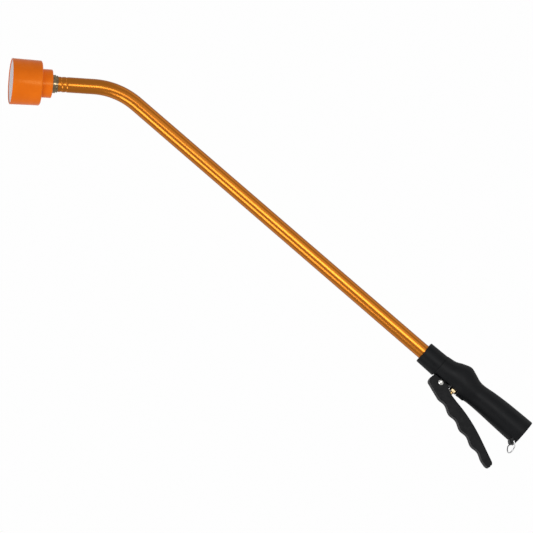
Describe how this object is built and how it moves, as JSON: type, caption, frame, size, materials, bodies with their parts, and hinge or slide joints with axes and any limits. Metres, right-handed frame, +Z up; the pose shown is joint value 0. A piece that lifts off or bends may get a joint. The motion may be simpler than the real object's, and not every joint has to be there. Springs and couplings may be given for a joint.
{
  "type": "watering wand",
  "caption": "Hand-held watering wand: bent tube with a round water breaker, and a grip with a squeeze-lever valve, a wire hold-open clip and a hose inlet.",
  "frame": {"origin": "centre of the hose inlet's mouth", "axes": "+X out of the hose inlet along the grip, so the water breaker is at -X; +Z is up, and the lever and the breaker are on the -Z side"},
  "size_m": [0.781, 0.057, 0.128],
  "materials": {
    "breaker_plastic": "satin moulded orange plastic",
    "face_plastic": "matt pale lilac-grey plastic",
    "seal_rubber": "matt black rubber",
    "plated_metal": "bright plated metal",
    "anodised_tube": "gold-orange anodised aluminium",
    "grip_black": "satin black moulded sleeve",
    "inner_plastic": "natural plastic",
    "body_black": "black glass-filled plastic",
    "lever_black": "satin black lever",
    "brass": "turned brass",
    "steel": "bright stainless steel"
  },
  "bodies": {
    "wand": {"breaker_body": "breaker_plastic", "breaker_face": "face_plastic", "breaker_diffuser": "face_plastic", "breaker_washer": "seal_rubber", "head_nipple": "plated_metal", "head_nipple_o_rings": "seal_rubber", "wand_tube": "anodised_tube", "tube_collar": "grip_black", "tube_clamp_ring": "inner_plastic", "tube_o_ring": "seal_rubber", "valve_body": "body_black", "grip_sleeve": "grip_black", "hose_washer": "seal_rubber", "inlet_screen": "steel", "valve_seat": "brass", "valve_spring": "steel", "spring_cap": "body_black", "cap_o_ring": "seal_rubber", "packing_nut": "plated_metal", "stem_o_rings": "seal_rubber", "lever_pin": "plated_metal", "lever_pin_cap": "steel"},
    "lever": {"squeeze_lever": "lever_black"},
    "stem": {"valve_stem": "brass", "poppet": "brass", "poppet_seal": "seal_rubber", "poppet_nut": "brass"},
    "clip": {"hold_open_clip": "steel"}
  },
  "joints": [
    {"name": "lever_squeeze", "type": "hinge", "parent": "wand", "child": "lever", "pos_m": [-0.1184, 0, -0.0195], "axis": [0, -1, 0], "range_deg": [0, 11], "stiffness_Nm_per_rad": 0.5, "springref_deg": -22.92},
    {"name": "stem_slide", "type": "slide", "parent": "wand", "child": "stem", "axis": [0, 0, 1], "range_m": [0, 0.0036], "deforming": ["valve_spring"]},
    {"name": "clip_swing", "type": "hinge", "parent": "wand", "child": "clip", "pos_m": [-0.0032, 0, -0.016], "axis": [0, -1, 0], "range_deg": [-70, 70]}
  ],
  "couplings": [
    {"joint": "stem_slide", "follows": "lever_squeeze", "m_per_rad": 0.0182}
  ]
}
